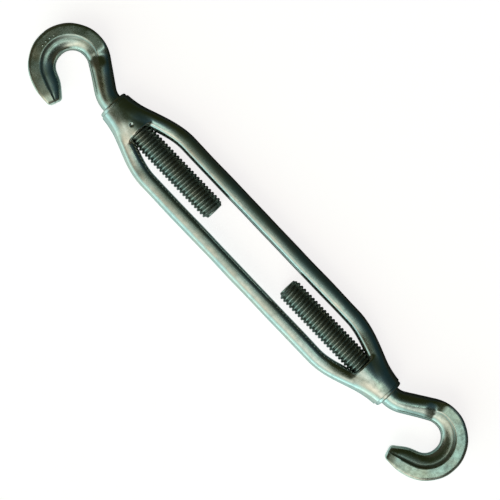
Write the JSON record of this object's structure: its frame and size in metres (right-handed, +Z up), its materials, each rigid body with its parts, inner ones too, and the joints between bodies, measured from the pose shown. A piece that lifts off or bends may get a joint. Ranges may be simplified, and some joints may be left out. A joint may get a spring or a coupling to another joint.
{
  "type": "rigging turnbuckle",
  "caption": "Open-frame rigging turnbuckle with a hook at each end; opposite-hand threaded shanks screw into the frame's bosses to tension a line.",
  "frame": {"origin": "under the middle of the frame, on the plane the bosses rest on; the thread axis is 6.57 mm above it and 1.7 mm towards +Y, because the box round the whole part is centred on the origin", "axes": "+X along the thread axis towards the right-hand-thread hook, +Z up out of the plane of the legs and hooks, hook tips towards -Y"},
  "size_m": [0.2274, 0.0322, 0.0131],
  "materials": {
    "frame_zinc": "bright zinc plate with a faint green-blue passivation, over a forged surface",
    "hook_zinc": "bright zinc plate with a faint green-blue passivation, darker in the thread roots"
  },
  "bodies": {
    "frame": {"frame": "frame_zinc"},
    "right_turner": {"right_boss_rim": "frame_zinc"},
    "right_hook": {"right_hook": "hook_zinc"},
    "left_turner": {"left_boss_rim": "frame_zinc"},
    "left_hook": {"left_hook": "hook_zinc"}
  },
  "joints": [
    {"name": "right_hook_turn", "type": "hinge", "parent": "frame", "child": "right_turner", "pos_m": [0.0762, 0.0017, 0.00657], "axis": [1, 0, 0], "range_deg": [0, 9000]},
    {"name": "right_hook_travel", "type": "slide", "parent": "right_turner", "child": "right_hook", "axis": [1, 0, 0], "range_m": [0, 0.03969]},
    {"name": "left_hook_turn", "type": "hinge", "parent": "frame", "child": "left_turner", "pos_m": [-0.0762, 0.0017, 0.00657], "axis": [1, 0, 0], "range_deg": [0, 9000]},
    {"name": "left_hook_travel", "type": "slide", "parent": "left_turner", "child": "left_hook", "axis": [-1, 0, 0], "range_m": [0, 0.03969]}
  ],
  "couplings": [
    {"joint": "right_hook_travel", "follows": "right_hook_turn", "m_per_rad": 0.00025266},
    {"joint": "left_hook_travel", "follows": "left_hook_turn", "m_per_rad": 0.00025266}
  ]
}
